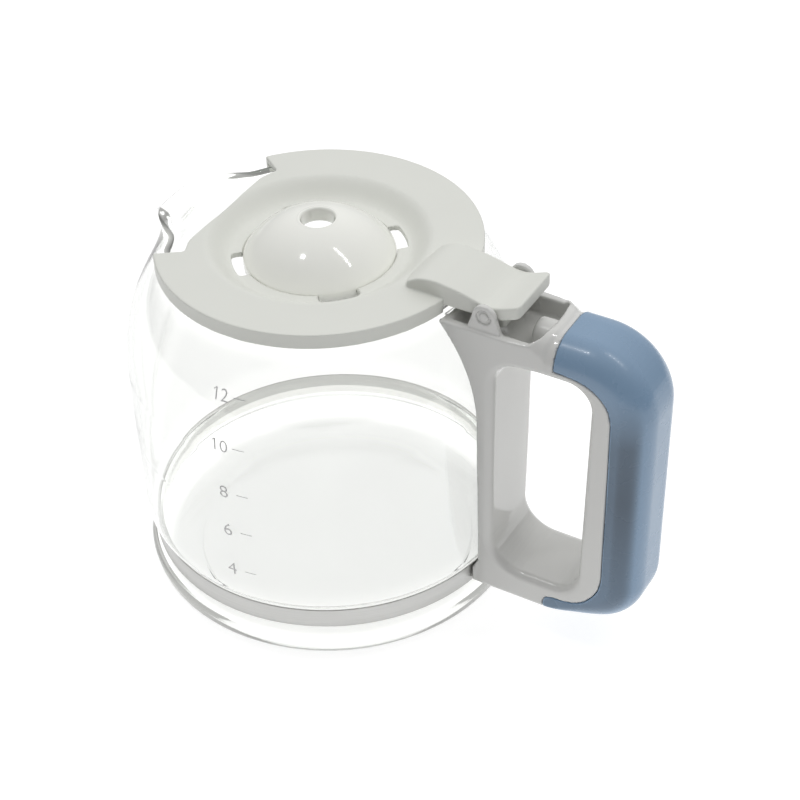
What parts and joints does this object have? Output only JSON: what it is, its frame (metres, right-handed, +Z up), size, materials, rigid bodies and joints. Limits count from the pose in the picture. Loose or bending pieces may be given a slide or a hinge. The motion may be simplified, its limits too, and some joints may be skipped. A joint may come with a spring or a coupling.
{
  "type": "coffee server carafe",
  "caption": "Glass coffee server with a hinged drip-through lid, thumb lever, steel clamp band and two-tone plastic handle",
  "frame": {"origin": "middle of the flat glass base, on the surface that the jug stands on", "axes": "+Z up; +X from the jug's axis towards the handle, so the spout points along -X; +Y completes the right-handed set, and the part is symmetric about the XZ plane"},
  "size_m": [0.209, 0.148, 0.1507],
  "materials": {
    "clear_glass": "clear heat-resistant glass with a faint green tint at its edges",
    "band_steel": "thin stainless strip, drawn along its length",
    "screw_steel": "zinc-bright steel",
    "white_gloss": "glossy white moulding",
    "blue_gloss": "satin-gloss grey-blue moulding",
    "lid_matte": "fine matte grain, warm pale grey",
    "dome_gloss": "glossy warm pale grey"
  },
  "bodies": {
    "jug": {"glass_jug": "clear_glass", "clamp_band": "band_steel", "band_anchor": "screw_steel", "band_screw": "screw_steel", "band_washer": "screw_steel", "handle_frame": "white_gloss", "rim_clip": "band_steel", "rim_clip_screw": "screw_steel", "grip_shell": "blue_gloss", "grip_screws": "screw_steel", "hinge_pin": "white_gloss"},
    "lid": {"lid_plate": "lid_matte", "lid_dome": "dome_gloss"}
  },
  "joints": [
    {"name": "lid_hinge", "type": "hinge", "parent": "jug", "child": "lid", "pos_m": [0.075, 0, 0.14136], "axis": [0, 1, 0], "range_deg": [0, 70]}
  ]
}
